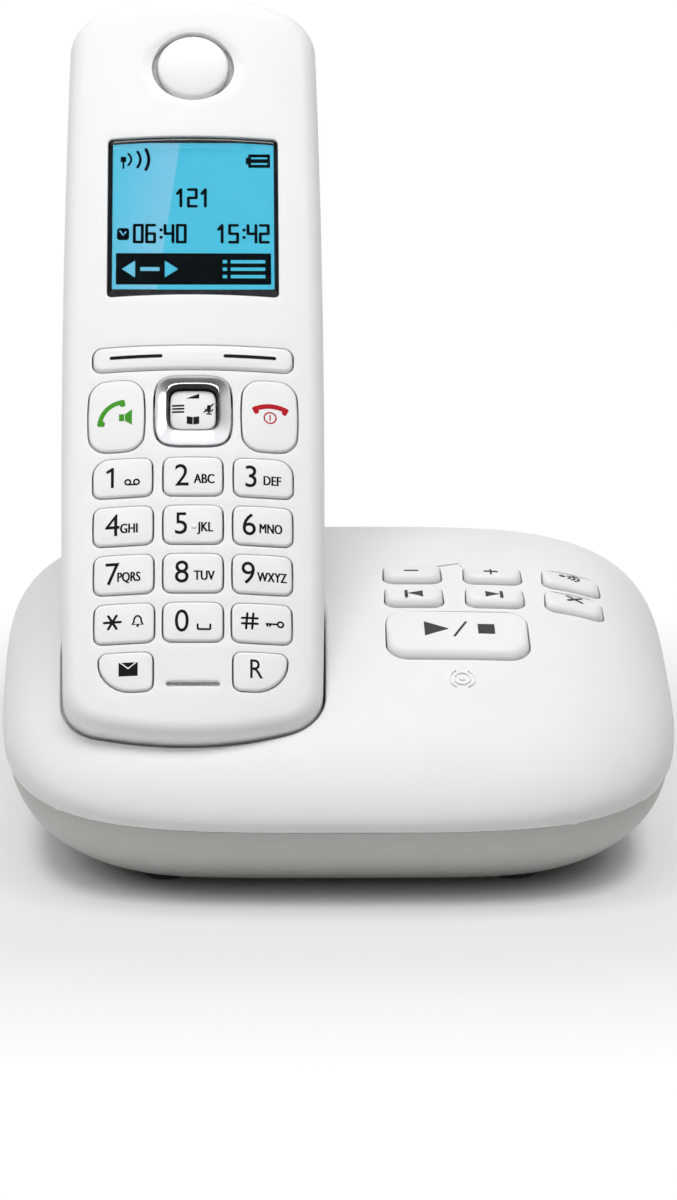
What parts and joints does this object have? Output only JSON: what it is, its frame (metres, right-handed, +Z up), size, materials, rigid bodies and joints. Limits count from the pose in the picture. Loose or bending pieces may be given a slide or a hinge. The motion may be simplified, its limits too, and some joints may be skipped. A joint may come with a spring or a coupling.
{
  "type": "answering machine",
  "caption": "Cordless telephone with answering machine: pebble-shaped charging base with message keys, and a slim handset leaning in its cradle.",
  "frame": {"origin": "middle of the bounding box, on the surface that the rubber feet stand on", "axes": "+X to the right seen from the front, +Y to the back, +Z up; the handset stands left of the middle and leans back towards +Y"},
  "size_m": [0.125, 0.1326, 0.1442],
  "materials": {
    "white_shell": "satin, fine grain",
    "white_keys": "satin",
    "chrome_trim": "plated, bright",
    "clear_window": "clear, polished",
    "display_panel": "backlit",
    "circuit_board": "solder resist",
    "key_rubber": "moulded silicone",
    "foot_rubber": "soft, matt",
    "plated_contacts": "gold flash",
    "antenna_sheet": "tinned",
    "screw_steel": "zinc plated",
    "cell_wrap": "shrink sleeve",
    "black_plastic": "moulded",
    "speaker_steel": "black chromate",
    "cone_paper": "pressed paper"
  },
  "bodies": {
    "base": {"base_upper_shell": "white_shell", "base_lower_shell": "white_shell", "cradle_pocket": "white_shell", "charging_contacts": "plated_contacts", "base_main_board": "circuit_board", "base_key_board": "circuit_board", "base_key_mat": "key_rubber", "loudspeaker_frame": "speaker_steel", "loudspeaker_cone": "cone_paper", "line_jack": "black_plastic", "power_jack": "black_plastic", "base_feet": "foot_rubber", "base_screws": "screw_steel", "base_antennas": "antenna_sheet"},
    "handset": {"handset_front_shell": "white_shell", "handset_back_shell": "white_shell", "display_window": "clear_window", "display_module": "display_panel", "handset_circuit_board": "circuit_board", "handset_key_mat": "key_rubber", "earpiece_cap": "white_keys", "earpiece_receiver": "black_plastic", "ringer_speaker": "black_plastic", "microphone": "black_plastic", "battery_cells": "cell_wrap", "battery_contacts": "plated_contacts", "handset_charging_pads": "plated_contacts", "handset_screws": "screw_steel"},
    "battery_cover": {"battery_cover": "white_shell"},
    "number_key_1": {"number_key_1": "white_keys"},
    "number_key_2": {"number_key_2": "white_keys"},
    "number_key_3": {"number_key_3": "white_keys"},
    "number_key_4": {"number_key_4": "white_keys"},
    "number_key_5": {"number_key_5": "white_keys"},
    "number_key_6": {"number_key_6": "white_keys"},
    "number_key_7": {"number_key_7": "white_keys"},
    "number_key_8": {"number_key_8": "white_keys"},
    "number_key_9": {"number_key_9": "white_keys"},
    "number_key_0": {"number_key_0": "white_keys"},
    "star_key": {"star_key": "white_keys"},
    "hash_key": {"hash_key": "white_keys"},
    "talk_key": {"talk_key": "white_keys"},
    "end_key": {"end_key": "white_keys"},
    "message_key": {"message_key": "white_keys"},
    "recall_key": {"recall_key": "white_keys"},
    "volume_down_key": {"volume_down_key": "white_keys"},
    "volume_up_key": {"volume_up_key": "white_keys"},
    "announce_key": {"announce_key": "white_keys"},
    "previous_key": {"previous_key": "white_keys"},
    "next_key": {"next_key": "white_keys"},
    "delete_key": {"delete_key": "white_keys"},
    "play_stop_key": {"play_stop_key": "white_keys"},
    "soft_key_bar": {"soft_key_bar": "white_keys"},
    "nav_ring": {"nav_ring": "chrome_trim"},
    "nav_pad": {"nav_pad": "white_keys"}
  },
  "joints": [
    {"name": "handset_lift", "type": "slide", "parent": "base", "child": "handset", "axis": [0, 0.6871, 0.7266], "range_m": [0, 0.06]},
    {"name": "battery_cover_lift", "type": "slide", "parent": "handset", "child": "battery_cover", "axis": [0, 0.7266, -0.6871], "range_m": [0, 0.008]},
    {"name": "number_key_1_press", "type": "slide", "parent": "handset", "child": "number_key_1", "axis": [0, 0.7266, -0.6871], "range_m": [0, 0.0006], "stiffness_N_per_m": 800},
    {"name": "number_key_2_press", "type": "slide", "parent": "handset", "child": "number_key_2", "axis": [0, 0.7266, -0.6871], "range_m": [0, 0.0006], "stiffness_N_per_m": 800},
    {"name": "number_key_3_press", "type": "slide", "parent": "handset", "child": "number_key_3", "axis": [0, 0.7266, -0.6871], "range_m": [0, 0.0006], "stiffness_N_per_m": 800},
    {"name": "number_key_4_press", "type": "slide", "parent": "handset", "child": "number_key_4", "axis": [0, 0.7266, -0.6871], "range_m": [0, 0.0006], "stiffness_N_per_m": 800},
    {"name": "number_key_5_press", "type": "slide", "parent": "handset", "child": "number_key_5", "axis": [0, 0.7266, -0.6871], "range_m": [0, 0.0006], "stiffness_N_per_m": 800},
    {"name": "number_key_6_press", "type": "slide", "parent": "handset", "child": "number_key_6", "axis": [0, 0.7266, -0.6871], "range_m": [0, 0.0006], "stiffness_N_per_m": 800},
    {"name": "number_key_7_press", "type": "slide", "parent": "handset", "child": "number_key_7", "axis": [0, 0.7266, -0.6871], "range_m": [0, 0.0006], "stiffness_N_per_m": 800},
    {"name": "number_key_8_press", "type": "slide", "parent": "handset", "child": "number_key_8", "axis": [0, 0.7266, -0.6871], "range_m": [0, 0.0006], "stiffness_N_per_m": 800},
    {"name": "number_key_9_press", "type": "slide", "parent": "handset", "child": "number_key_9", "axis": [0, 0.7266, -0.6871], "range_m": [0, 0.0006], "stiffness_N_per_m": 800},
    {"name": "number_key_0_press", "type": "slide", "parent": "handset", "child": "number_key_0", "axis": [0, 0.7266, -0.6871], "range_m": [0, 0.0006], "stiffness_N_per_m": 800},
    {"name": "star_key_press", "type": "slide", "parent": "handset", "child": "star_key", "axis": [0, 0.7266, -0.6871], "range_m": [0, 0.0006], "stiffness_N_per_m": 800},
    {"name": "hash_key_press", "type": "slide", "parent": "handset", "child": "hash_key", "axis": [0, 0.7266, -0.6871], "range_m": [0, 0.0006], "stiffness_N_per_m": 800},
    {"name": "talk_key_press", "type": "slide", "parent": "handset", "child": "talk_key", "axis": [0, 0.7266, -0.6871], "range_m": [0, 0.0006], "stiffness_N_per_m": 800},
    {"name": "end_key_press", "type": "slide", "parent": "handset", "child": "end_key", "axis": [0, 0.7266, -0.6871], "range_m": [0, 0.0006], "stiffness_N_per_m": 800},
    {"name": "message_key_press", "type": "slide", "parent": "handset", "child": "message_key", "axis": [0, 0.7266, -0.6871], "range_m": [0, 0.0006], "stiffness_N_per_m": 800},
    {"name": "recall_key_press", "type": "slide", "parent": "handset", "child": "recall_key", "axis": [0, 0.7266, -0.6871], "range_m": [0, 0.0006], "stiffness_N_per_m": 800},
    {"name": "volume_down_key_press", "type": "slide", "parent": "base", "child": "volume_down_key", "axis": [0, 0, -1], "range_m": [0, 0.0007], "stiffness_N_per_m": 800},
    {"name": "volume_up_key_press", "type": "slide", "parent": "base", "child": "volume_up_key", "axis": [0, 0, -1], "range_m": [0, 0.0007], "stiffness_N_per_m": 800},
    {"name": "announce_key_press", "type": "slide", "parent": "base", "child": "announce_key", "axis": [0, 0, -1], "range_m": [0, 0.0007], "stiffness_N_per_m": 800},
    {"name": "previous_key_press", "type": "slide", "parent": "base", "child": "previous_key", "axis": [0, 0, -1], "range_m": [0, 0.0007], "stiffness_N_per_m": 800},
    {"name": "next_key_press", "type": "slide", "parent": "base", "child": "next_key", "axis": [0, 0, -1], "range_m": [0, 0.0007], "stiffness_N_per_m": 800},
    {"name": "delete_key_press", "type": "slide", "parent": "base", "child": "delete_key", "axis": [0, 0, -1], "range_m": [0, 0.0007], "stiffness_N_per_m": 800},
    {"name": "play_stop_key_press", "type": "slide", "parent": "base", "child": "play_stop_key", "axis": [0, 0, -1], "range_m": [0, 0.0007], "stiffness_N_per_m": 800},
    {"name": "soft_key_rock", "type": "hinge", "parent": "handset", "child": "soft_key_bar", "pos_m": [-0.0271, -0.00206, 0.08481], "axis": [0, 0.6871, 0.7266], "range_deg": [-1.5, 1.5], "stiffness_Nm_per_rad": 0.05},
    {"name": "nav_up_down", "type": "hinge", "parent": "handset", "child": "nav_ring", "pos_m": [-0.0271, -0.00983, 0.0766], "axis": [1, 0, 0], "range_deg": [-2, 2], "stiffness_Nm_per_rad": 0.05},
    {"name": "nav_left_right", "type": "hinge", "parent": "nav_ring", "child": "nav_pad", "pos_m": [-0.0271, -0.00983, 0.0766], "axis": [0, 0.6871, 0.7266], "range_deg": [-2, 2], "stiffness_Nm_per_rad": 0.05}
  ]
}
